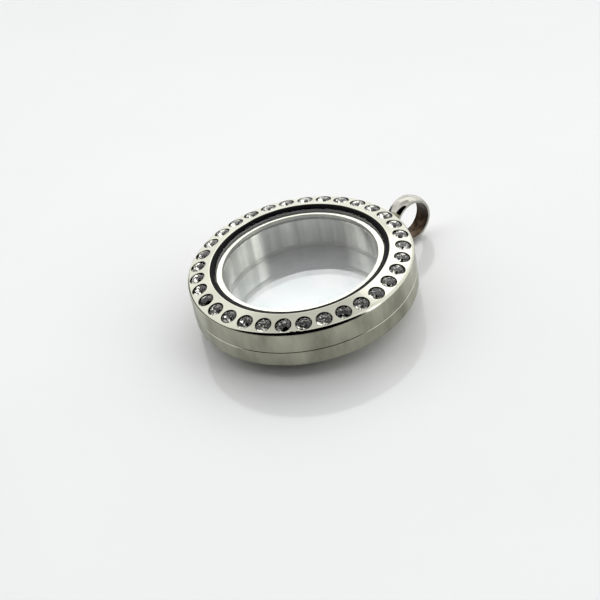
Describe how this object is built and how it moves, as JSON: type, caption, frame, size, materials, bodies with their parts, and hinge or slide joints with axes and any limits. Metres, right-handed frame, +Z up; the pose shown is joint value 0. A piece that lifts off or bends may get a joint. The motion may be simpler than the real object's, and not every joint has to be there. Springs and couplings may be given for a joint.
{
  "type": "floating locket",
  "caption": "Round hinged locket with two glass windows, a bezel set with round clear stones and a wide loose bail ring; the lid swings open so that charms can be put in.",
  "frame": {"origin": "on the locket's axis, at the level that its back rests on", "axes": "+Z up out of the stone-set front, +Y towards the bail at 12 o'clock, hinge on the -X side"},
  "size_m": [0.0317, 0.0369, 0.0078],
  "materials": {
    "case_metal": "mirror-polished stainless steel",
    "bail_metal": "mirror-polished stainless steel",
    "pin_metal": "drawn steel wire",
    "magnet": "nickel-plated magnet",
    "window_glass": "clear polished glass",
    "seal": "glossy black rubber seal",
    "stone": "clear cut crystal with a foiled back"
  },
  "bodies": {
    "case": {"back_frame": "case_metal", "back_glass": "window_glass", "hinge_pin": "pin_metal", "closure_magnet": "magnet"},
    "lid": {"front_frame": "case_metal", "seal_ring": "seal", "front_glass": "window_glass", "stone_01": "stone", "stone_02": "stone", "stone_03": "stone", "stone_04": "stone", "stone_05": "stone", "stone_06": "stone", "stone_07": "stone", "stone_08": "stone", "stone_09": "stone", "stone_10": "stone", "stone_11": "stone", "stone_12": "stone", "stone_13": "stone", "stone_14": "stone", "stone_15": "stone", "stone_16": "stone", "stone_17": "stone", "stone_18": "stone", "stone_19": "stone", "stone_20": "stone", "stone_21": "stone", "stone_22": "stone", "stone_23": "stone", "stone_24": "stone", "stone_25": "stone", "stone_26": "stone", "stone_27": "stone", "stone_28": "stone", "stone_29": "stone", "stone_30": "stone", "stone_31": "stone", "stone_32": "stone", "stone_33": "stone"},
    "bail": {"bail_ring": "bail_metal"}
  },
  "joints": [
    {"name": "lid_hinge", "type": "hinge", "parent": "case", "child": "lid", "pos_m": [-0.01592, 0, 0.00402], "axis": [0, -1, 0], "range_deg": [0, 120]},
    {"name": "bail_swing", "type": "hinge", "parent": "case", "child": "bail", "pos_m": [0, 0.0164, 0.00345], "axis": [1, 0, 0], "range_deg": [-20, 25]}
  ]
}
